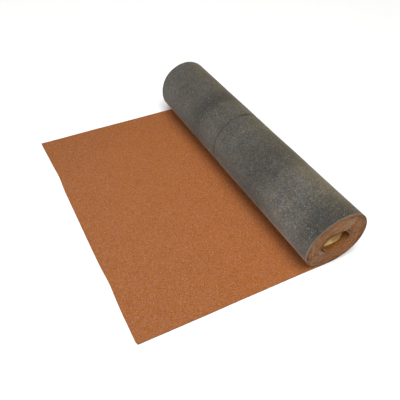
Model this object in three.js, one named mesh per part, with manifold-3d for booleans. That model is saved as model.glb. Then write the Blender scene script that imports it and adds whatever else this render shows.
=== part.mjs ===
import * as THREE from 'three';
import { mergeVertices } from 'three/addons/utils/BufferGeometryUtils.js';
import Module from 'manifold-3d';

// A roll of mineral-surfaced roofing felt with its first stretch laid out flat. Millimetres, +Z up.
// The roll lies along Y. The laid-out stretch runs towards -X from under the roll, mineral face up,
// so the sheet passes under the roll, climbs its +X side and winds inwards round a cardboard core.
// The origin is on the floor, at the middle of the sheet's width and halfway along X.

// ---- the sheet
const sheetWidth = 1000;
const sheetLength = 10000;
const laidLength = 658;
const feltThickness = 3.3;

// ---- the core tube
const coreBoreRadius = 39;
const coreWall = 3;
const coreProud = 1;
const coreSlack = 1.2;
const seatGap = 0.3;

// ---- the sag of the coil's middle, which has gone oval under the roll's own weight
const ovalShare = 0.11;
const ovalDirection = THREE.MathUtils.degToRad(5);

// ---- the core's near end, torn off along a slanting plane: its long side stands out past the felt
// as a tongue, and its short side ends inside the coil
const tearProud = 13;
const tearSunk = 60;
const tearDirection = THREE.MathUtils.degToRad(127);

// ---- the gap between turns, as it shows on the coil's two ends
const turnGrooveWidth = 1.3;
const turnGrooveDepth = 2;
const turnGrooveRunOut = THREE.MathUtils.degToRad(9);

// ---- facets
const outerFacets = 56;
const boreFacets = 56;
const grooveChord = 17;
const shortestEdge = 0.02;
const coreFacets = 72;

const TURN = 2 * Math.PI;

// ---- the coil: an Archimedean spiral whose pitch is the felt's thickness
const coreOuterRadius = coreBoreRadius + coreWall;
const coilBoreRadius = coreOuterRadius + coreSlack;
const meanBoreRadius = coilBoreRadius + feltThickness / 2;
const coilArea = (sheetLength - laidLength) * feltThickness;
const rollRadius = Math.sqrt(meanBoreRadius ** 2 + coilArea / Math.PI) + feltThickness / 2;
const coilAngle = (TURN * (rollRadius - feltThickness - coilBoreRadius)) / feltThickness;

// Radius of the sheet's outer face after it has wound through an angle from the floor line.
function outerFaceRadius(angle) {
  return rollRadius - (feltThickness * angle) / TURN;
}

// What a radius becomes in a direction seen from the near end, once the coil's middle has sagged
// to an oval. The sag fades to nothing at the coil's outside.
function saggedRadius(radius, direction) {
  const inwards = (rollRadius - radius) / (rollRadius - coilBoreRadius);
  return radius * (1 + ovalShare * inwards ** 2 * Math.cos(2 * (direction - ovalDirection)));
}

// A point at an angle wound from the floor line, in the plane of the coil's section.
function coilPoint(angle, radius) {
  const sagged = saggedRadius(radius, angle - Math.PI / 2);
  return new THREE.Vector2(sagged * Math.sin(angle), rollRadius - sagged * Math.cos(angle));
}

// ---- manifold solids from three.js geometry and back
const wasm = await Module();
wasm.setup();

function solidOf(geometry) {
  const bare = geometry.clone();
  bare.deleteAttribute('normal');
  bare.deleteAttribute('uv');
  const merged = mergeVertices(bare, 1e-4);
  return new wasm.Manifold(new wasm.Mesh({
    numProp: 3,
    vertProperties: new Float32Array(merged.attributes.position.array),
    triVerts: new Uint32Array(merged.index.array),
  }));
}

function geometryOf(solid) {
  const mesh = solid.getMesh();
  const geometry = new THREE.BufferGeometry();
  geometry.setAttribute('position', new THREE.BufferAttribute(mesh.vertProperties, 3));
  geometry.setIndex(new THREE.BufferAttribute(mesh.triVerts, 1));
  geometry.computeVertexNormals();
  return geometry;
}

// An outline drawn in X and Z, extruded along Y and centred on it.
function extrudeAcross(shape, width) {
  const geometry = new THREE.ExtrudeGeometry(shape, { depth: width, bevelEnabled: false, steps: 1 });
  geometry.rotateX(Math.PI / 2);
  geometry.translate(0, width / 2, 0);
  return geometry;
}

// ---- the felt's section: the laid stretch, the outermost turn, and the bore with the inner end's step
function feltOutline() {
  const outline = new THREE.Shape();
  outline.moveTo(-laidLength, 0);
  outline.lineTo(0, 0);
  for (let i = 1; i <= outerFacets; i += 1) {
    const angle = (TURN * i) / outerFacets;
    const p = coilPoint(angle, outerFaceRadius(angle));
    outline.lineTo(p.x, p.y);
  }
  outline.lineTo(-laidLength, feltThickness);
  outline.closePath();

  const bore = new THREE.Path();
  for (let i = 0; i <= boreFacets; i += 1) {
    const angle = coilAngle - TURN + (TURN * i) / boreFacets;
    const p = coilPoint(angle, outerFaceRadius(angle) - feltThickness);
    if (i === 0) bore.moveTo(p.x, p.y);
    else bore.lineTo(p.x, p.y);
  }
  bore.closePath();
  outline.holes.push(bore);
  return outline;
}

// The line between one turn and the next, on one end of the coil. It runs out a little way past
// the nip, where the outermost turn leaves the laid stretch, and past the inner end's step.
class TurnLine extends THREE.Curve {
  constructor(y) {
    super();
    this.y = y;
  }

  getPoint(t, target = new THREE.Vector3()) {
    const first = TURN - turnGrooveRunOut;
    const last = coilAngle + turnGrooveRunOut;
    const angle = THREE.MathUtils.lerp(first, last, t);
    const p = coilPoint(angle, outerFaceRadius(angle));
    return target.set(p.x, this.y, p.y);
  }
}

// A V-shaped cutter that follows the turn line, with its edge into the coil.
// The sweep's section X points towards -Y, so side is -1 on the near end and 1 on the far end.
function turnGroove(side) {
  const line = new TurnLine((side * sheetWidth) / 2);
  line.arcLengthDivisions = 4000;
  const lineLength = sheetLength - laidLength;
  const outside = 1;
  const halfWidth = (turnGrooveWidth / 2) * (1 + outside / turnGrooveDepth);
  const vee = new THREE.Shape();
  vee.moveTo(side * turnGrooveDepth, 0);
  vee.lineTo(-side * outside, side * halfWidth);
  vee.lineTo(-side * outside, -side * halfWidth);
  vee.closePath();
  return new THREE.ExtrudeGeometry(vee, {
    steps: Math.round(lineLength / grooveChord),
    extrudePath: line,
  });
}

function feltGeometry() {
  const sheet = solidOf(extrudeAcross(feltOutline(), sheetWidth));
  const cut = sheet.subtract(solidOf(turnGroove(-1))).subtract(solidOf(turnGroove(1)));
  return geometryOf(cut.simplify(shortestEdge));
}

// ---- the core tube

// How far the torn end stands out past the felt at a direction seen from that end.
function tornEndAt(direction) {
  const middle = (tearProud - tearSunk) / 2;
  const swing = (tearProud + tearSunk) / 2;
  return middle + swing * Math.cos(direction - tearDirection);
}

// How far the tube's axis drops below the coil's before some point of it nears the bore, whose
// facets stand a little inside its curve.
function coreDrop() {
  const facetShare = Math.cos(Math.PI / boreFacets);
  let drop = Infinity;
  for (let i = 0; i <= boreFacets; i += 1) {
    const angle = coilAngle - (TURN * i) / boreFacets;
    const direction = angle - Math.PI / 2;
    const bore = saggedRadius(outerFaceRadius(angle) - feltThickness, direction);
    const room = bore * facetShare - saggedRadius(coreOuterRadius, direction) - seatGap;
    if (Math.cos(angle) > 0.5) drop = Math.min(drop, room / Math.cos(angle));
  }
  return drop;
}

function coreGeometry() {
  const nearEnd = -sheetWidth / 2;
  const farEnd = sheetWidth / 2 + coreProud;
  const wall = [
    new THREE.Vector2(coreBoreRadius, nearEnd),
    new THREE.Vector2(coreOuterRadius, nearEnd),
    new THREE.Vector2(coreOuterRadius, farEnd),
    new THREE.Vector2(coreBoreRadius, farEnd),
    new THREE.Vector2(coreBoreRadius, nearEnd),
  ];
  const geometry = new THREE.LatheGeometry(wall, coreFacets);
  const position = geometry.attributes.position;
  for (let i = 0; i < position.count; i += 1) {
    const x = position.getX(i);
    const z = position.getZ(i);
    const direction = Math.atan2(z, x);
    const sagged = saggedRadius(Math.hypot(x, z), direction);
    const end = position.getY(i) < 0 ? nearEnd - tornEndAt(direction) : farEnd;
    position.setXYZ(i, sagged * Math.cos(direction), end, sagged * Math.sin(direction));
  }
  geometry.translate(0, 0, rollRadius - coreDrop());
  return geometry;
}

// ---- the pieces
const felt = new THREE.Mesh(
  feltGeometry(),
  new THREE.MeshStandardMaterial({ color: 0xa3653c, roughness: 0.95, metalness: 0 }),
);
felt.name = 'felt_sheet';

const core = new THREE.Mesh(
  coreGeometry(),
  new THREE.MeshStandardMaterial({ color: 0xc9a262, roughness: 0.9, metalness: 0 }),
);
core.name = 'core_tube';

const roll = new THREE.Group();
roll.add(felt, core);

// The origin goes halfway along X.
const box = new THREE.Box3().setFromObject(felt);
roll.position.x = -(box.min.x + box.max.x) / 2;

export default roll;
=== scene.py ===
import math
import bpy
from mathutils import Matrix, Vector, noise


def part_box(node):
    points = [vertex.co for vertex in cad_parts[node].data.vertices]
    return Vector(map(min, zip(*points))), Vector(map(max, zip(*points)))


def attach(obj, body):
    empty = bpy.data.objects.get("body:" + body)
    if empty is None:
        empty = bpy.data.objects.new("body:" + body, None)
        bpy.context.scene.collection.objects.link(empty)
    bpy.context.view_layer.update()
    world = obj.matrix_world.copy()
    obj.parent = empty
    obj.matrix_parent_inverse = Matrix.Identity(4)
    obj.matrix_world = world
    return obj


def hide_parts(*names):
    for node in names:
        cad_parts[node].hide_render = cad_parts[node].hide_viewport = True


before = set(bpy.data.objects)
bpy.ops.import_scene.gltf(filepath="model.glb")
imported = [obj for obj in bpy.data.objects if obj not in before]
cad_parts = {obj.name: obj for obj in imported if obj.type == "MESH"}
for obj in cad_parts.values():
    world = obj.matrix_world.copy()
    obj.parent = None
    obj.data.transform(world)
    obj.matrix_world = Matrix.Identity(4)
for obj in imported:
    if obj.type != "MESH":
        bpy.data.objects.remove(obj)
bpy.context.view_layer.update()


# ---- Camera
# A camera on a stand at the near left of the sheet, looking down on it at about 47 degrees. Its
# shift sets the roll off the middle of the frame.
camera_place = Vector((-0.5713, -1.0424, 1.1198))
camera_heading = math.radians(-25.431)
camera_tilt = math.radians(46.848)
camera_roll = math.radians(0.165)
camera_film_width = 36
camera_lens = 39.345
camera_shift = (0.0989, 0.0459)

bpy.ops.object.camera_add()
camera = bpy.context.object
camera.name = "camera"
camera.matrix_world = (
    Matrix.Translation(camera_place)
    @ Matrix.Rotation(camera_heading, 4, "Z")
    @ Matrix.Rotation(math.radians(90) - camera_tilt, 4, "X")
    @ Matrix.Rotation(camera_roll, 4, "Z")
)
camera.data.sensor_width = camera_film_width
camera.data.lens = camera_lens
camera.data.shift_x = camera_shift[0]
camera.data.shift_y = camera_shift[1]
bpy.context.scene.camera = camera


# ---- Floor and light
# A plain white studio floor under one large soft lamp overhead, a little to the left. A round lamp
# above the sheet's near side, a low fill from the left and weak light from all round help it.
floor_size = 14
floor_gap = 0.0004
floor_white = (0.88, 0.88, 0.87, 1)
soft_spread = math.radians(40)
near_lamp_place = (-0.25, -0.45, 1.9)
near_lamp_width = 1.2
near_lamp_power = 19
air_white = (1, 1, 1, 1)
air_strength = 0.25

bpy.context.scene.view_settings.view_transform = "Standard"

bpy.ops.mesh.primitive_plane_add(size=floor_size, location=(0, 0, -floor_gap))
floor = bpy.context.object
floor.name = "studio_floor"
floor_paint = bpy.data.materials.new("studio_floor_paint")
floor_paint.use_nodes = True
floor_shader = floor_paint.node_tree.nodes["Principled BSDF"]
floor_shader.inputs["Base Color"].default_value = floor_white
floor_shader.inputs["Roughness"].default_value = 0.9
floor_shader.inputs["Specular IOR Level"].default_value = 0.1
floor.data.materials.append(floor_paint)


def add_sun(name, comes_from, strength):
    """A far, soft lamp that shines from that direction."""
    bpy.ops.object.light_add(type="SUN")
    lamp = bpy.context.object
    lamp.name = name
    lamp.rotation_euler = Vector(comes_from).to_track_quat("Z", "Y").to_euler()
    lamp.data.angle = soft_spread
    lamp.data.energy = strength


add_sun("key_lamp", (-0.15, -0.45, 1.0), 2.35)

bpy.ops.object.light_add(type="AREA", location=near_lamp_place)
near_lamp = bpy.context.object
near_lamp.name = "near_lamp"
near_lamp.data.shape = "DISK"
near_lamp.data.size = near_lamp_width
near_lamp.data.energy = near_lamp_power
near_lamp.visible_camera = False

add_sun("left_fill", (-0.97, -0.05, 0.24), 1.8)

studio_air = bpy.data.worlds.new("studio_air")
studio_air.use_nodes = True
air = studio_air.node_tree.nodes["Background"]
air.inputs["Color"].default_value = air_white
air.inputs["Strength"].default_value = air_strength
bpy.context.scene.world = studio_air


# ---- Felt sheet
# Roofing felt: a bitumen sheet 1 m wide and 10 m long, with brown mineral granules pressed into
# one face and grey sand on the other. It is wound sanded face out, and its first stretch lies flat.
sheet_length = 10.0
sheet_width = 1.0
turn_pitch = 0.0033
felt_thickness = 0.00312
bore_radius = 0.0432
oval_share = 0.11
oval_direction = math.radians(5)
full_turn = 2 * math.pi

# The spiral is a quarter of its pitch nearer the axis at the roll's right side, and half of it at
# the top, so the solid's box gives the roll's radius and its axis.
felt_low, felt_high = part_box("felt_sheet")
roll_radius = (felt_high[2] + turn_pitch / 2) / 2
roll_axis_x = felt_high[0] - roll_radius + turn_pitch / 4
laid_length = roll_axis_x - felt_low[0]

# Rows run along the sheet and columns across it. The column lines are closer at the sheet's edges
# and at the crease.
laid_rows = 66
first_turn_rows = 144
turn_rows = 72
column_lines = [-0.5, -0.495, -0.47, -0.38, -0.25, -0.11, 0.040, 0.058, 0.2, 0.34, 0.46, 0.495, 0.5]
columns = len(column_lines) - 1
fine_cuts = 6
angle_step = 0.0005


def wound_length(angle):
    """Length of sheet wound on from the floor line through that angle."""
    return (roll_radius - turn_pitch / 2) * angle - turn_pitch * angle * angle / (2 * full_turn)


coil_angle = full_turn
while wound_length(coil_angle) < sheet_length - laid_length:
    coil_angle += angle_step
last_turn = coil_angle / full_turn
coil_rows = round((last_turn - 1) * turn_rows)
all_rows = laid_rows + first_turn_rows + coil_rows

bpy.ops.object.select_all(action="DESELECT")
bpy.ops.mesh.primitive_grid_add(x_subdivisions=all_rows, y_subdivisions=columns, size=2)
felt = bpy.context.object
felt.name = "felt_sheet_wound"

# Finer columns on the laid stretch and the outermost turn, which are seen from outside.
bpy.ops.object.mode_set(mode="EDIT")
bpy.ops.mesh.select_all(action="DESELECT")
bpy.ops.mesh.select_mode(type="EDGE")
bpy.ops.object.mode_set(mode="OBJECT")
fine_end = -1 + 2 * (laid_rows + first_turn_rows) / all_rows + 1e-5
for edge in felt.data.edges:
    a, b = (felt.data.vertices[i].co for i in edge.vertices)
    edge.select = abs(a.x - b.x) < 1e-6 and a.x < fine_end
bpy.ops.object.mode_set(mode="EDIT")
bpy.ops.mesh.subdivide(number_cuts=fine_cuts)
bpy.ops.object.mode_set(mode="OBJECT")


def angle_at(row):
    """Angle wound at a row past the laid stretch."""
    if row < first_turn_rows:
        return full_turn * row / first_turn_rows
    return full_turn + (coil_angle - full_turn) * (row - first_turn_rows) / coil_rows


def rise(value, start, full):
    """0 up to the start and 1 from the full value on, in either direction, with a smooth rise."""
    share = min(1.0, max(0.0, (value - start) / (full - start)))
    return share * share * (3 - 2 * share)


def bump_at(x, middle, half_width):
    """A smooth bump of height 1 at the middle."""
    return math.exp(-((x - middle) / half_width) ** 2)


def swell(direction, most, middle, half_width):
    """An amount with its most at a direction round the coil. Middle and half width in degrees."""
    off = (math.degrees(direction) - middle + 180) % 360 - 180
    return most * bump_at(off, 0, half_width)


def uneven(x, y, z):
    """Smooth unevenness of up to about 1 either way, the same at the same place."""
    return noise.noise(Vector((x, y, z)))


# The laid stretch: slack waves, long edges that aren't quite straight, and a cut end with two
# hollows, a fine fray, a far corner that runs on and a worn near corner.
slack_wave = 0.0012
edge_wander = 0.0005
near_edge_out = 0.0013
far_edge_out = 0.0010
cut_hollows = [(-0.28, 0.0035), (0.27, 0.004)]
cut_hollow_width = 0.06
cut_fray = 0.0004
cut_runs_on = 0.0006
far_corner_runs_on = 0.0034
near_corner_worn = 0.0030


def laid_point(along, across):
    """Underside of the laid stretch at a length along the sheet and a place across it."""
    end = (laid_length - along) / laid_length
    cut = sum(deep * bump_at(across, place, cut_hollow_width) for place, deep in cut_hollows)
    cut -= far_corner_runs_on * rise(across, 0.36, 0.50)
    cut += near_corner_worn * rise(across, -0.488, -0.500)
    cut += cut_fray * uneven(across * 60, 7.7, 0)
    cut -= cut_runs_on + cut_runs_on * rise(across, 0.1, -0.1)
    x = roll_axis_x - laid_length + along + cut * end ** 8
    wave = uneven(along * 4.5, across * 3.0, 1.3) + 0.15
    z = slack_wave * max(0.0, wave) * rise(along, laid_length, laid_length - 0.12)
    side = math.copysign(1, across) * edge_wander * uneven(along * 9, across, 3.3)
    y = across + side * rise(abs(across), 0.44, 0.50)
    y -= near_edge_out * rise(end, 0.25, 0.85) * rise(across, -0.2, -0.5)
    y += far_edge_out * rise(end, 0, 0.25) * rise(across, 0.3, 0.5)
    return Vector((x, y, z))


# The coil's uneven turns. Most are an amount in metres, then the direction where it is most and
# its half width, both in degrees, seen from the near end: 0 is to the right and 90 is up.
coil_slack = 0.0012
slack_turns = 8
low_left_turns_out = (0.0019, 207, 24)
low_left_depth = 8
crease_middle = 1.035
crease_across = 0.0545
crease_slant = 0.035
crease_bend = 0.15
crease_deep = 0.0006
crease_half_width = 0.0025
outer_turn_full = (0.0003, 60, 40)
outer_turn_waist = (0.0004, 60, 40)
waist_near_width = 0.010
waist_far_width = 0.05
inner_turns_sprung = (0.0030, 204, 30)
last_turn_sprung = (0.0046, 212, 22)
sheet_end_sprung = (0.0032, 44, 12)
sprung_deep = 0.022
end_slow_wander = 0.0011
end_fast_wander = 0.0005
end_drawn_in = 0.0012
turns_stand_out = (0.0024, 328, 38)
turns_dished = (0.0045, 153, 38)
far_end_drawn_in = 0.004
far_end_drawn_in_more = (0.005, 190, 30)
fade_turns = 20


def crease_line(along):
    """Where across the sheet the crease runs at that length."""
    from_middle = along - crease_middle
    return crease_across - crease_slant * from_middle - crease_bend * from_middle ** 2


def oval_radius(radius, direction):
    """The coil's middle has sagged to an oval; the sag fades to nothing at its outside."""
    inwards = (roll_radius - radius) / (roll_radius - bore_radius)
    return radius * (1 + oval_share * inwards ** 2 * math.cos(2 * (direction - oval_direction)))


def coil_point(angle, across):
    """Sanded face of the coil at an angle wound from the floor line."""
    turns = angle / full_turn
    direction = (angle - math.pi / 2) % full_turn
    outer_share = 1 - turns / fade_turns
    off_floor = rise(math.cos(angle), 1, 0.65)

    slack = coil_slack * max(0.0, 1 - turns / slack_turns)
    wave = uneven(math.cos(angle) * 1.6, math.sin(angle) * 1.6, across * 5)
    wave += 0.6 * rise(across, 0.05, -0.25)
    radius = roll_radius - turn_pitch * turns + slack * wave * off_floor
    inner_share = max(0.0, 1 - abs(turns - last_turn) / low_left_depth)
    radius += swell(direction, *low_left_turns_out) * inner_share * rise(across, -0.15, -0.5)
    if turns < 1.02:
        line = crease_line(laid_length + wound_length(angle))
        radius -= crease_deep * bump_at(across, line, crease_half_width) * off_floor
        waist = bump_at(across, line, waist_near_width if across < line else waist_far_width)
        radius += swell(direction, *outer_turn_full) - waist * swell(direction, *outer_turn_waist)
    sprung = swell(direction, *inner_turns_sprung) * rise(turns, last_turn - 6, last_turn - 1)
    if coil_angle - angle < full_turn:
        sprung += swell(direction, *last_turn_sprung)
    if coil_angle - angle < full_turn * 1.3:
        sprung += swell(direction, *sheet_end_sprung)
    radius -= sprung * rise(across, -0.5 + sprung_deep, -0.5)

    end = end_slow_wander * uneven(angle * 0.5, 2.2, 0)
    end += end_fast_wander * uneven(angle * 4.0, 5.2, 0)
    end -= end_drawn_in * rise(turns, 0, 0.5)
    y = across + end * abs(across) / 0.5
    dished = swell(direction, *turns_dished) * rise(turns, last_turn - 7, last_turn - 1)
    stands_out = swell(direction, *turns_stand_out) * outer_share
    y += (dished - stands_out) * rise(across, -0.3, -0.5)
    drawn_in = far_end_drawn_in + swell(direction, *far_end_drawn_in_more)
    y -= drawn_in * rise(turns, 0, 0.25) * outer_share * rise(across, 0.3, 0.5)

    radius = oval_radius(radius, angle - math.pi / 2)
    return Vector((roll_axis_x + radius * math.sin(angle), y, roll_radius - radius * math.cos(angle)))


# Wound in code, because the spiral, its slack and its uneven ends follow the length of the sheet.
lengths = []
for vertex in felt.data.vertices:
    row = (vertex.co.x + 1) / 2 * all_rows
    column = (vertex.co.y + 1) / 2 * columns
    low = min(int(column + 1e-6), columns - 1)
    across = column_lines[low] + (column - low) * (column_lines[low + 1] - column_lines[low])
    if row <= laid_rows:
        along = laid_length * row / laid_rows
        vertex.co = laid_point(along, across)
    else:
        angle = angle_at(row - laid_rows)
        along = laid_length + wound_length(angle)
        vertex.co = coil_point(angle, across)
    lengths.append((along, across))
felt_map = felt.data.uv_layers[0]
felt_map.name = "metres"
for loop in felt.data.loops:
    felt_map.data[loop.index].uv = lengths[loop.vertex_index]

thicken = felt.modifiers.new("thickness", "SOLIDIFY")
thicken.thickness = felt_thickness
thicken.offset = 1
thicken.use_even_offset = False
bpy.context.view_layer.objects.active = felt
bpy.ops.object.modifier_apply(modifier="thickness")

# The first vertices are now the mineral face, where the depth is 1. The sanded back is at 0.
sanded_slot, mineral_slot, cut_slot, gap_shade_slot = range(4)
gap_shade_from = 9.40
mineral_count = len(lengths)
depth_map = felt.data.attributes.new("depth", "FLOAT", "POINT")
for i, value in enumerate(depth_map.data):
    value.value = 1.0 if i < mineral_count else 0.0
for face in felt.data.polygons:
    on_mineral = sum(i < mineral_count for i in face.vertices)
    if on_mineral == len(face.vertices):
        face.material_index = mineral_slot
    elif on_mineral > 0:
        face.material_index = cut_slot
    # The back of the innermost turns takes a dark finish as painted shade in the gap between them.
    elif felt.data.uv_layers[0].data[face.loop_start].uv[0] > gap_shade_from:
        face.material_index = gap_shade_slot
    else:
        face.material_index = sanded_slot


def feed(tree, socket, value):
    """Sets an input socket to a value, or links it to another socket."""
    if isinstance(value, bpy.types.NodeSocket):
        tree.links.new(value, socket)
    else:
        socket.default_value = value


def put(tree, kind, inputs=(), **settings):
    """A node with its settings, and each input given as a value or as a socket to link."""
    item = tree.nodes.new("ShaderNode" + kind)
    for key, value in settings.items():
        setattr(item, key, value)
    for key, value in dict(inputs).items():
        feed(tree, item.inputs[key], value)
    return item


def start_effect(name, inputs, outputs):
    """An empty node group with named inputs (name, kind, value) and outputs (name, kind)."""
    tree = bpy.data.node_groups.new(name, "ShaderNodeTree")
    for label, kind, value in inputs:
        socket = tree.interface.new_socket(label, in_out="INPUT", socket_type="NodeSocket" + kind)
        if value is not None:
            socket.default_value = value
    for label, kind in outputs:
        tree.interface.new_socket(label, in_out="OUTPUT", socket_type="NodeSocket" + kind)
    return tree, tree.nodes.new("NodeGroupInput").outputs, tree.nodes.new("NodeGroupOutput").inputs


def maths(tree, operation, a, b=0.0, c=0.0):
    return put(tree, "Math", {0: a, 1: b, 2: c}, operation=operation).outputs[0]


def product(tree, *values):
    """All the values multiplied together."""
    total = values[0]
    for value in values[1:]:
        total = maths(tree, "MULTIPLY", total, value)
    return total


def spread_out(tree, value, low, high, to_low=0.0, to_high=1.0):
    """One number where the value is low, another where it is high, and smooth between them."""
    item = put(tree, "MapRange", {"Value": value, "From Min": low, "From Max": high,
                                  "To Min": to_low, "To Max": to_high})
    item.interpolation_type = "SMOOTHSTEP"
    return item.outputs[0]


def vector_maths(tree, operation, a, b=(0, 0, 0)):
    """A vector, or the one number that a length, distance or dot product is."""
    item = put(tree, "VectorMath", {0: a, 1: b}, operation=operation)
    is_number = operation in ("LENGTH", "DISTANCE", "DOT_PRODUCT")
    return item.outputs["Value" if is_number else "Vector"]


def scaled(tree, vector, by):
    return put(tree, "VectorMath", {0: vector, "Scale": by}, operation="SCALE").outputs[0]


def shifted(tree, vector, by):
    return put(tree, "Mapping", {"Vector": vector, "Location": by}).outputs[0]


# Grains bedded side by side: every grain has its own tone, and stands up a little in its middle.
dark_grain_drop = -0.5
light_grain_gain = 0.7
least_grain_tone = 0.15
grain, grain_in, grain_out = start_effect(
    "grain",
    [("Vector", "Vector", None), ("Grains per metre", "Float", 900.0), ("Contrast", "Float", 0.2),
     ("Dark share", "Float", 0.05), ("Light share", "Float", 0.05)],
    [("Tone", "Float"), ("Height", "Float")])
cells = put(grain, "TexVoronoi", {"Vector": grain_in["Vector"], "Scale": grain_in["Grains per metre"]})
cell_tones = put(grain, "SeparateColor", {"Color": cells.outputs["Color"]}).outputs
tone = maths(grain, "SUBTRACT", cell_tones[0], 0.5)
tone = maths(grain, "MULTIPLY_ADD", tone, grain_in["Contrast"], 1.0)
is_dark = maths(grain, "LESS_THAN", cell_tones[1], grain_in["Dark share"])
is_light = maths(grain, "LESS_THAN", cell_tones[2], grain_in["Light share"])
tone = maths(grain, "MULTIPLY_ADD", is_dark, dark_grain_drop, tone)
tone = maths(grain, "MULTIPLY_ADD", is_light, light_grain_gain, tone)
feed(grain, grain_out["Tone"], maths(grain, "MAXIMUM", tone, least_grain_tone))
crown = spread_out(grain, cells.outputs["Distance"], 0.0, 0.6, 1.0, 0.0)
lift = maths(grain, "MULTIPLY_ADD", cell_tones[0], 0.5, 0.5)
feed(grain, grain_out["Height"], product(grain, crown, lift))

# Blotches: soft uneven tone of a set size, such as thin and thick spots in a dressing of sand.
cloud_detail = 2.0
cloud_swing = 4.0
blotch, blotch_in, blotch_out = start_effect(
    "blotch",
    [("Vector", "Vector", None), ("Per metre", "Float", 20.0), ("Amount", "Float", 0.1)],
    [("Tone", "Float")])
cloud = put(blotch, "TexNoise", {"Vector": blotch_in["Vector"], "Scale": blotch_in["Per metre"],
                                 "Detail": cloud_detail}).outputs[0]
cloud = product(blotch, maths(blotch, "SUBTRACT", cloud, 0.5), cloud_swing)
feed(blotch, blotch_out["Tone"], maths(blotch, "MULTIPLY_ADD", cloud, blotch_in["Amount"], 1.0))

# Stray grains: single large grains that lie here and there, more in some places than in others.
stray, stray_in, stray_out = start_effect(
    "stray_grains",
    [("Vector", "Vector", None), ("Cells per metre", "Float", 90.0), ("Share", "Float", 0.4),
     ("Size", "Float", 0.14)],
    [("Mask", "Float")])
spots = put(stray, "TexVoronoi", {"Vector": stray_in["Vector"], "Scale": stray_in["Cells per metre"]})
spot_tones = put(stray, "SeparateColor", {"Color": spots.outputs["Color"]}).outputs
own_size = maths(stray, "MULTIPLY_ADD", spot_tones[1], 0.7, 0.5)
own_size = product(stray, stray_in["Size"], own_size)
inside = maths(stray, "LESS_THAN", spots.outputs["Distance"], own_size)
is_there = maths(stray, "LESS_THAN", spot_tones[0], stray_in["Share"])
feed(stray, stray_out["Mask"], product(stray, inside, is_there))


def place_effect(tree, effect, inputs):
    """An effect's outputs, with its inputs set."""
    item = tree.nodes.new("ShaderNodeGroup")
    item.node_tree = effect
    for key, value in inputs.items():
        feed(tree, item.inputs[key], value)
    return item.outputs


def bed_of_grains(tree, vector, per_metre, contrast, dark_share, light_share):
    """Tone and height of a bed of grains."""
    bed = place_effect(tree, grain, {
        "Vector": vector, "Grains per metre": per_metre, "Contrast": contrast,
        "Dark share": dark_share, "Light share": light_share})
    return bed["Tone"], bed["Height"]


def blotches(tree, vector, per_metre, amount):
    """Tone of blotches, so many to a metre."""
    return place_effect(tree, blotch, {
        "Vector": vector, "Per metre": per_metre, "Amount": amount})["Tone"]


def stray_grains(tree, vector, cells_per_metre, share, size):
    """Mask of the stray grains. Each cell may hold one, and its size is in cells."""
    return place_effect(tree, stray, {
        "Vector": vector, "Cells per metre": cells_per_metre, "Share": share, "Size": size})["Mask"]


def start_material(name, roughness, specular):
    material = bpy.data.materials.new(name)
    material.use_nodes = True
    tree = material.node_tree
    shader = tree.nodes["Principled BSDF"]
    shader.inputs["Roughness"].default_value = roughness
    shader.inputs["Specular IOR Level"].default_value = specular
    return material, tree, shader


def sheet_map(tree):
    """The sheet's own map in metres, the length along the sheet and the place across it."""
    metres = put(tree, "UVMap", uv_map="metres").outputs[0]
    parts = put(tree, "SeparateXYZ", {"Vector": metres}).outputs
    return metres, parts[0], parts[1]


def toned(tree, colour, *tones):
    """A colour times several tones."""
    return scaled(tree, colour, product(tree, *tones))


def swung(tree, colour, swing, *tones):
    """A colour that goes up and down by a swing colour as the tones leave 1."""
    off = maths(tree, "SUBTRACT", product(tree, *tones), 1.0)
    both = vector_maths(tree, "ADD", colour, scaled(tree, swing, off))
    return vector_maths(tree, "MAXIMUM", both, (0.003, 0.003, 0.003))


def mixed(tree, share, a, b):
    """Colour a where the share is 0, and colour b where it is 1."""
    item = put(tree, "Mix", {"Factor": share}, data_type="RGBA")
    for socket, value in zip([s for s in item.inputs if s.type == "RGBA"], (a, b)):
        feed(tree, socket, value if isinstance(value, bpy.types.NodeSocket) else (*value, 1))
    return [s for s in item.outputs if s.type == "RGBA"][0]


def relief(tree, shader, height, strength, depth):
    item = put(tree, "Bump", {"Height": height, "Strength": strength, "Distance": depth})
    feed(tree, shader.inputs["Normal"], item.outputs[0])


# Lengths along the sheet in the felt's materials are in metres from its cut end. The outermost turn
# leaves the floor at 0.66. It is at the roll's right at 0.83, its top at 1.00, its left at 1.17 and
# its underside at 1.34. Places across the sheet run from -0.5 at the near edge to 0.5 at the far one.

# Mineral face: crushed brown granules of about 1 mm. It is a little darker at the far side, a little
# cooler at the cut end, lifted by painted light right at the nip and browner where it faces the bore,
# with painted light and painted shade there.
granule_red = (0.263, 0.0925, 0.0282)
granule_brown = (0.259, 0.0945, 0.0342)
granule_swing = (0.186, 0.105, 0.058)
cut_end_tint = (0.982, 0.992, 1.03)
nip_tint = (1.045, 1.0, 0.93)
pale_granule = (0.63, 0.31, 0.15)
pale_granule_cover = 0.42
dark_granule = (0.12, 0.03, 0.008)
dark_granule_cover = 0.5
bore_brown = (0.185, 0.076, 0.017)
bore_brown_cover = 0.85
up_right_way = (0.57, 0, 0.82)

mineral, tree, shader = start_material("mineral_granules", roughness=0.92, specular=0.15)
metres, along, across = sheet_map(tree)
grains, grain_height = bed_of_grains(
    tree, metres, per_metre=750.0, contrast=0.5, dark_share=0.09, light_share=0.06)
hue = blotches(tree, shifted(tree, metres, (2.2, 0.6, 0)), per_metre=35.0, amount=1.0)
granules = mixed(tree, spread_out(tree, hue, 0.6, 1.4), granule_red, granule_brown)
tint = mixed(tree, spread_out(tree, along, 0.05, 0.45), cut_end_tint, nip_tint)
granules = vector_maths(tree, "MULTIPLY", granules, tint)
granules = toned(tree, granules, spread_out(tree, across, 0.25, 0.42, 1.0, 0.95))
paint = swung(tree, granules, granule_swing, grains,
              blotches(tree, metres, per_metre=330.0, amount=0.12),
              blotches(tree, metres, per_metre=110.0, amount=0.08),
              blotches(tree, metres, per_metre=14.0, amount=0.025))
pale_grains = stray_grains(tree, metres, cells_per_metre=150.0, share=0.35, size=0.16)
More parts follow.
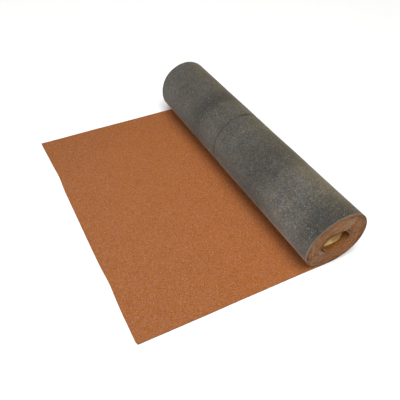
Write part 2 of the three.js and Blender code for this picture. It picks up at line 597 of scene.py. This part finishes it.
elsewhere = shifted(tree, metres, (3.3, 1.7, 0))
dark_grains = stray_grains(tree, elsewhere, cells_per_metre=170.0, share=0.35, size=0.18)
paint = mixed(tree, product(tree, pale_grains, pale_granule_cover), paint, pale_granule)
paint = mixed(tree, product(tree, dark_grains, dark_granule_cover), paint, dark_granule)
# Painted light: the granules are paler right at the nip, where the roll's shade falls.
paint = toned(tree, paint, spread_out(tree, along, 0.575, 0.595, 1.0, 1.3))
here = put(tree, "TexCoord").outputs["Object"]
axis_up_right = up_right_way[0] * roll_axis_x + up_right_way[2] * roll_radius
up_right = vector_maths(tree, "DOT_PRODUCT", here, up_right_way)
up_right = maths(tree, "SUBTRACT", up_right, axis_up_right)
# Painted light at the bore's lower left and painted shade towards its upper right, on a browner
# colour.
bore_shaded_paint = toned(tree, bore_brown, grains,
                   spread_out(tree, up_right, -0.045, -0.015, 1.5, 1.0),
                   spread_out(tree, up_right, 0.008, 0.038, 1.05, 0.2))
core_turn = spread_out(tree, along, 9.60, 9.66)
paint = mixed(tree, product(tree, core_turn, bore_brown_cover), paint, bore_shaded_paint)
feed(tree, shader.inputs["Base Color"], paint)
relief(tree, shader, grain_height, strength=0.5, depth=0.0005)

# Sanded back: grey sand on dark bitumen. The dressing is thick in some bands across the width and
# thin in others. A yellow tint on the roll's right is painted warm light, and a brown tint low on its
# left is painted light bounced up from the mineral face.
# Each band is a place across the sheet and how thick the sand is there, where 1 is the usual.
sand_bands = [(-0.50, 0.74), (-0.46, 0.81), (-0.40, 1.24), (-0.35, 1.46), (-0.29, 1.36),
              (-0.23, 0.91), (-0.18, 0.75), (-0.10, 0.90), (-0.02, 1.05), (0.045, 0.96),
              (0.10, 1.07), (0.15, 0.90), (0.20, 0.54), (0.26, 0.87), (0.36, 0.89), (0.46, 0.98)]
band_wander = 0.014
sand_blotches = [(300.0, 0.44), (120.0, 0.35), (40.0, 0.18), (15.0, 0.10)]
sand_grey = (0.0535, 0.0500, 0.0445)
sand_warm_grey = (0.0572, 0.0508, 0.0413)
sand_sheen = (1.0, 0.94, 0.82, 1)
yellow_painted_light = (0.066, 0.053, 0.026)
yellow_painted_light_cover = 0.8
brown_bounce_light = (0.168, 0.097, 0.072)
brown_bounce_light_cover = 0.9
pale_sand_grain = (0.36, 0.32, 0.27)
pale_sand_grain_cover = 0.7
crease_shade_black = (0.012, 0.008, 0.004)
crease_wander = 0.012
crease_relief = -1.5
pale_edge_highlight = (0.21, 0.155, 0.105)

sanded, tree, shader = start_material("sanded_back", roughness=0.85, specular=0.3)
shader.inputs["Diffuse Roughness"].default_value = 1.0
shader.inputs["Sheen Weight"].default_value = 0.14
shader.inputs["Sheen Tint"].default_value = sand_sheen
shader.inputs["Sheen Roughness"].default_value = 0.5
metres, along, across = sheet_map(tree)
wander = blotches(tree, metres, per_metre=9.0, amount=band_wander)
band_place = maths(tree, "SUBTRACT", maths(tree, "ADD", across, wander), 0.5)
bands = put(tree, "ValToRGB", {"Fac": band_place})
bands.color_ramp.interpolation = "EASE"
while len(bands.color_ramp.elements) < len(sand_bands):
    bands.color_ramp.elements.new(0.5)
for stop, (place, cover) in zip(bands.color_ramp.elements, sand_bands):
    stop.position = place + 0.5
    stop.color = (cover / 2, cover / 2, cover / 2, 1)
# Painted light: near the near end, the roll is lighter on its left side and at its upper right.
near_part = spread_out(tree, across, -0.44, -0.30, 1.0, 0.0)
painted_light_sides = maths(tree, "ADD", spread_out(tree, along, 1.07, 1.18, 0.0, 0.42),
              spread_out(tree, along, 0.95, 0.985, 0.18, 0.0))
thin_stripe = product(tree, spread_out(tree, along, 1.035, 1.062),
                      spread_out(tree, along, 1.075, 1.105, 1.0, 0.0),
                      spread_out(tree, across, -0.30, -0.10, 0.12, 0.06))
cover = product(tree, bands.outputs[0], 2.0,
                *[blotches(tree, metres, per_metre, amount) for per_metre, amount in sand_blotches],
                maths(tree, "MULTIPLY_ADD", near_part, painted_light_sides, 1.0),
                maths(tree, "SUBTRACT", 1.0, thin_stripe))
grains, grain_height = bed_of_grains(
    tree, metres, per_metre=900.0, contrast=0.9, dark_share=0.2, light_share=0.12)
hue = blotches(tree, shifted(tree, metres, (1.1, 5.2, 0)), per_metre=30.0, amount=1.0)
sand = mixed(tree, spread_out(tree, hue, 0.6, 1.4), sand_grey, sand_warm_grey)
# Painted warm light: a yellow tint on the roll's right side.
right_side = product(tree, spread_out(tree, along, 0.93, 1.05, 1.0, 0.0),
                     spread_out(tree, along, 0.80, 0.93, 0.45, 1.0))
sand = mixed(tree, product(tree, right_side, yellow_painted_light_cover), sand, yellow_painted_light)
# Painted light: a brown tint low on the roll's left, for light bounced up from the mineral face.
low_left = spread_out(tree, along, 1.18, 1.235, 0.0, brown_bounce_light_cover)
sand = mixed(tree, low_left, sand, brown_bounce_light)
paint = toned(tree, sand, cover, grains)

# Pale stray grains lie in loose clusters.
clusters = spread_out(tree, blotches(tree, metres, per_metre=22.0, amount=1.0), 0.7, 1.5, 0.05, 0.6)
pale_grains = stray_grains(tree, metres, cells_per_metre=190.0, share=clusters, size=0.18)
paint = mixed(tree, product(tree, pale_grains, pale_sand_grain_cover), paint, pale_sand_grain)

# The crease wanders about the line that the mesh is pressed in along, and is wider at both ends.
# Its dark line is painted shade.
crease_wave = put(tree, "TexNoise", {"Vector": metres, "Scale": 40.0, "Detail": 3.0}).outputs[0]
crease_start = crease_across - crease_wander / 2
from_middle = maths(tree, "SUBTRACT", along, crease_middle)
crease_bow = maths(tree, "MULTIPLY_ADD", from_middle, -crease_bend, -crease_slant)
crease_bow = product(tree, crease_bow, from_middle)
crease_place = maths(tree, "MULTIPLY_ADD", crease_wave, crease_wander, crease_start)
crease_place = maths(tree, "ADD", crease_place, crease_bow)
crease_size = maths(tree, "ADD", spread_out(tree, along, 0.965, 1.015, 2.6, 1.0),
                    spread_out(tree, along, 1.12, 1.17, 0.0, 1.6))
off_crease = maths(tree, "ABSOLUTE", maths(tree, "SUBTRACT", across, crease_place))
off_crease = maths(tree, "DIVIDE", off_crease, crease_size)
crease = spread_out(tree, off_crease, 0.0010, 0.0030, 1.0, 0.0)
crease_shade = product(tree, crease, spread_out(tree, along, 0.985, 1.025, 0.98, 0.6))
paint = mixed(tree, crease_shade, paint, crease_shade_black)


def over_top(tree, along):
    """1 where the outermost turn passes over the roll's top, and 0 elsewhere."""
    return product(tree, spread_out(tree, along, 0.88, 0.98),
                   spread_out(tree, along, 1.26, 1.36, 1.0, 0.0))


# The outermost turn has a pale painted highlight along its near edge, over the top.
side_highlight = product(tree, spread_out(tree, across, -0.4985, -0.4935, 1.0, 0.0),
                   spread_out(tree, along, 1.10, 1.16, 0.0, 0.35))
end_highlight = maths(tree, "ADD", spread_out(tree, across, -0.4985, -0.4955, 0.35, 0.0), side_highlight)
paint = mixed(tree, product(tree, over_top(tree, along), end_highlight), paint, pale_edge_highlight)
feed(tree, shader.inputs["Base Color"], paint)
height = maths(tree, "MULTIPLY_ADD", crease, crease_relief, grain_height)
relief(tree, shader, height, strength=0.4, depth=0.0004)

# Cut edge: the bitumen and its felt base, dusted with brown granules. The outermost turn's edge has a
# pale painted highlight over the top. Below that, and along the laid stretch, it keeps the granules'
# brown.
cut_bitumen = (0.122, 0.053, 0.017)
cut_granules = (0.247, 0.108, 0.040)
cut_swing = (0.155, 0.100, 0.062)
pale_dust = (0.245, 0.155, 0.098)
patch_dust = (0.232, 0.140, 0.078)
dust_patches = [(0.024, 0.070), (-0.050, -0.044)]
top_highlight_pale = (0.30, 0.20, 0.12)
foot_brown = (0.17, 0.070, 0.027)
foot_brown_cover = 0.8
low_right_way = (0.67, 0, -0.74)
up_left_way = (-0.34, 0, 0.94)
left_way = (-0.99, 0, 0.14)
pale_spot_place = (roll_axis_x - 0.006, -0.5, roll_radius + 0.070)

cut_edge, tree, shader = start_material("cut_edge", roughness=0.9, specular=0.2)
shader.inputs["Diffuse Roughness"].default_value = 1.0
here = put(tree, "TexCoord").outputs["Object"]
depth = put(tree, "Attribute", attribute_name="depth").outputs["Fac"]
metres, along, across = sheet_map(tree)
grains, grain_height = bed_of_grains(
    tree, here, per_metre=900.0, contrast=0.5, dark_share=0.10, light_share=0.06)
layers = mixed(tree, spread_out(tree, depth, 0.3, 0.8), cut_bitumen, cut_granules)

# Blotches on the coil's end are drawn out round the axis, because they follow the turns.
from_axis = vector_maths(tree, "SUBTRACT", here, (roll_axis_x, 0, roll_radius))
from_axis = vector_maths(tree, "MULTIPLY", from_axis, (1, 0, 1))
out_by = vector_maths(tree, "LENGTH", from_axis)
on_circle = scaled(tree, vector_maths(tree, "NORMALIZE", from_axis), 0.06)
turn_step = put(tree, "CombineXYZ", {"Y": product(tree, out_by, 1.6)}).outputs[0]
drawn_out = vector_maths(tree, "ADD", on_circle, turn_step)
dust = blotches(tree, drawn_out, per_metre=45.0, amount=0.9)
layers = mixed(tree, spread_out(tree, dust, 0.8, 1.8, 0.0, 0.30), layers, pale_dust)
for x, z in dust_patches:
    off_patch = vector_maths(tree, "DISTANCE", from_axis, (x, 0, z))
    layers = mixed(tree, spread_out(tree, off_patch, 0.006, 0.031, 0.50, 0.0), layers, patch_dust)
top_highlight = product(tree, over_top(tree, along), spread_out(tree, along, 1.08, 1.13, 0.75, 0.25))
layers = mixed(tree, top_highlight, layers, top_highlight_pale)
foot = spread_out(tree, along, 0.90, 0.97, 1.0, 0.0)
layers = mixed(tree, product(tree, foot, foot_brown_cover), layers, foot_brown)

# Slow changes of tone over the coil's end: darker near the floor, at the low right, at the left rim
# and round the bore, lighter towards the upper left, and one pale spot near the top.
outer_turns = spread_out(tree, along, 1.4, 4.6, 0.75, 1.0)
height = put(tree, "SeparateXYZ", {"Vector": here}).outputs[2]
low_darker = spread_out(tree, height, 0.008, 0.05, 0.84, 1.0)
axis_low_right = low_right_way[0] * roll_axis_x + low_right_way[2] * roll_radius
low_right = vector_maths(tree, "DOT_PRODUCT", here, low_right_way)
low_right = maths(tree, "SUBTRACT", low_right, axis_low_right)
low_right = spread_out(tree, low_right, 0.066, 0.096, 1.0, 0.88)
up_left = vector_maths(tree, "DOT_PRODUCT", from_axis, up_left_way)
up_left = spread_out(tree, up_left, -0.060, 0.060, 0.90, 1.07)
left = vector_maths(tree, "DOT_PRODUCT", from_axis, left_way)
left = spread_out(tree, left, 0.088, 0.106, 1.0, 0.82)
by_bore = spread_out(tree, out_by, 0.049, 0.064, 0.84, 1.0)
off_pale_spot = vector_maths(tree, "DISTANCE", here, pale_spot_place)
pale_spot = spread_out(tree, off_pale_spot, 0.008, 0.028, 1.15, 1.0)
layers = toned(tree, layers, outer_turns, low_darker, low_right, up_left, left, by_bore, pale_spot)
paint = swung(tree, layers, cut_swing, grains,
              blotches(tree, metres, per_metre=28.0, amount=0.14),
              blotches(tree, drawn_out, per_metre=150.0, amount=0.16),
              blotches(tree, drawn_out, per_metre=60.0, amount=0.34),
              blotches(tree, here, per_metre=22.0, amount=0.24))
feed(tree, shader.inputs["Base Color"], paint)
relief(tree, shader, grain_height, strength=0.6, depth=0.0005)

# Dark bitumen on the back of the innermost turns: painted shade for the gap where they spring apart.
gap_shade_brown = (0.040, 0.014, 0.004)
bitumen, tree, shader = start_material("gap_shade_bitumen", roughness=1.0, specular=0.0)
metres = put(tree, "UVMap", uv_map="metres").outputs[0]
grains, grain_height = bed_of_grains(
    tree, metres, per_metre=900.0, contrast=0.4, dark_share=0.10, light_share=0.05)
paint = toned(tree, gap_shade_brown, grains, blotches(tree, metres, per_metre=60.0, amount=0.3))
feed(tree, shader.inputs["Base Color"], paint)
relief(tree, shader, grain_height, strength=0.3, depth=0.0004)

# In the order of the slot numbers above.
for finish in (sanded, mineral, cut_edge, bitumen):
    felt.data.materials.append(finish)
bpy.ops.object.shade_smooth_by_angle(angle=math.radians(40))
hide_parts("felt_sheet")
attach(felt, "root")


# ---- Core tube
# The cardboard tube the felt is wound on: spiral-wound kraft board, 3 mm thick. Its near end is torn
# off along a slanting plane: the long side stands out as a tongue, and the short side ends inside.
core_low, core_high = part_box("core_tube")
core_radius = 0.042
core_wall = 0.003
core_axis = Vector(((core_low[0] + core_high[0]) / 2, 0, (core_low[2] + core_high[2]) / 2))
core_proud = core_high[1] - sheet_width / 2
core_sides = 240
core_rows = [0.0010, 0.003, 0.007, 0.014, 0.025, 0.05]
ply_cuts = 3
tear_proud = 0.013
tear_sunk = 0.060
tear_direction = math.radians(127)
tear_coarse = 0.0010
tear_fine = 0.0009
tear_ragged_deep = 0.003
near_end = -sheet_width / 2

bpy.ops.object.select_all(action="DESELECT")
bpy.ops.mesh.primitive_cylinder_add(
    vertices=core_sides, radius=core_radius, depth=sheet_width, end_fill_type="NOTHING",
    location=core_axis, rotation=(math.pi / 2, 0, 0))
core = bpy.context.object
core.name = "core_tube_board"
bpy.ops.object.transform_apply(location=True, rotation=True, scale=True)
bpy.ops.object.mode_set(mode="EDIT")
for row in core_rows:
    bpy.ops.mesh.select_all(action="SELECT")
    bpy.ops.mesh.bisect(plane_co=(0, near_end + row, 0), plane_no=(0, 1, 0))
bpy.ops.mesh.select_all(action="SELECT")
bpy.ops.mesh.normals_make_consistent(inside=False)
bpy.ops.object.mode_set(mode="OBJECT")
wall = core.modifiers.new("wall", "SOLIDIFY")
wall.thickness = core_wall
wall.offset = -1
wall.use_even_offset = False
bpy.ops.object.modifier_apply(modifier="wall")


def off_core_axis(point):
    """How far a point is from the core's axis."""
    return math.hypot(point.x - core_axis.x, point.z - core_axis.z)


# The torn end's rim is cut into plies, and each ply is torn off at its own height.
bpy.ops.object.mode_set(mode="EDIT")
bpy.ops.mesh.select_all(action="DESELECT")
bpy.ops.object.mode_set(mode="OBJECT")
for edge in core.data.edges:
    a, b = (core.data.vertices[i].co for i in edge.vertices)
    through_wall = abs(off_core_axis(a) - off_core_axis(b)) > core_wall / 2
    edge.select = max(a.y, b.y) < near_end + 1e-5 and through_wall
bpy.ops.object.mode_set(mode="EDIT")
bpy.ops.mesh.subdivide(number_cuts=ply_cuts)
bpy.ops.object.mode_set(mode="OBJECT")
for vertex in core.data.vertices:
    p = vertex.co
    direction = math.atan2(p.z - core_axis.z, p.x - core_axis.x)
    radius = off_core_axis(p)
    ply = (radius - core_radius) / core_wall
    inside = (p.y - near_end) / sheet_width
    slant = (tear_proud - tear_sunk) / 2
    slant += (tear_proud + tear_sunk) / 2 * math.cos(direction - tear_direction)
    torn = tear_coarse * uneven(direction * 8, ply * 1.2, 0.4)
    torn += tear_fine * uneven(direction * 30, ply * 3, 2.4)
    torn *= rise(inside * sheet_width, tear_ragged_deep, 0)
    p.y += core_proud * inside - slant * rise(inside, 0.4, 0) - torn
    sagged = oval_radius(radius, direction)
    p.x = core_axis.x + sagged * math.cos(direction)
    p.z = core_axis.z + sagged * math.sin(direction)

kraft_outside = (0.36, 0.25, 0.085)
kraft_inside = (0.30, 0.20, 0.08)
kraft_torn = (0.50, 0.33, 0.19)
root_shade_brown = (0.20, 0.115, 0.06)
upper_brown = (0.170, 0.088, 0.026)
board_width = 0.12
fibre_draw = (1, 0.15, 1)


def kraft_board(name, colour, root_and_upper_share):
    """Spiral-wound board of one colour, browner on its upper part, with painted shade where it goes
    into the felt, on its right side and deeper in the bore.
    """
    board, tree, shader = start_material(name, roughness=0.85, specular=0.25)
    here = shifted(tree, put(tree, "TexCoord").outputs["Object"], (-core_axis.x, 0, -core_axis.z))
    x, y, z = put(tree, "SeparateXYZ", {"Vector": here}).outputs
    fibre_lines = vector_maths(tree, "MULTIPLY", here, fibre_draw)
    fibres = blotches(tree, fibre_lines, per_metre=900.0, amount=0.10)
    patches = blotches(tree, here, per_metre=60.0, amount=0.12)
    turned = put(tree, "CombineXYZ", {"X": x, "Y": z}).outputs[0]
    around = put(tree, "TexGradient", {"Vector": turned}, gradient_type="RADIAL").outputs[1]
    helix = maths(tree, "FRACT", maths(tree, "MULTIPLY_ADD", y, 1 / board_width, around))
    off_seam = maths(tree, "ABSOLUTE", maths(tree, "SUBTRACT", helix, 0.5))
    seam = spread_out(tree, off_seam, 0.0, 0.012, 0.75, 1.0)
    # Painted shade: darker on the tube's right side and deeper inside the bore.
    shade = spread_out(tree, x, -0.040, 0.02, 1.0, 0.45)
    deep_in_shade = spread_out(tree, maths(tree, "ABSOLUTE", y), 0.44, 0.495, 0.25, 1.0)
    paint = toned(tree, colour, fibres, patches, seam, shade, deep_in_shade)
    # Painted shade where the tube goes into the felt; the upper part is browner.
    root = spread_out(tree, maths(tree, "MULTIPLY_ADD", patches, 0.006, y), -0.4955, -0.4915)
    upper = spread_out(tree, maths(tree, "MULTIPLY_ADD", patches, 0.03, z), 0.050, 0.064)
    paint = mixed(tree, product(tree, root, root_and_upper_share), paint, root_shade_brown)
    paint = mixed(tree, product(tree, upper, root_and_upper_share), paint, upper_brown)
    feed(tree, shader.inputs["Base Color"], paint)
    relief(tree, shader, product(tree, fibres, seam), strength=0.3, depth=0.0003)
    return board


core.data.materials.append(kraft_board("core_outer_ply", kraft_outside, 0.9))
core.data.materials.append(kraft_board("core_inner_ply", kraft_inside, 0.0))
core.data.materials.append(kraft_board("core_torn_edge", kraft_torn, 0.0))
outer_slot, inner_slot, torn_slot = range(3)
for face in core.data.polygons:
    middle = face.center - core_axis
    outwards = (face.normal.x * middle.x + face.normal.z * middle.z) / math.hypot(middle.x, middle.z)
    if outwards > 0.5:
        face.material_index = outer_slot
    elif outwards < -0.5:
        face.material_index = inner_slot
    else:
        face.material_index = torn_slot
bpy.context.view_layer.objects.active = core
bpy.ops.object.shade_smooth_by_angle(angle=math.radians(40))
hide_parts("core_tube")
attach(core, "root")
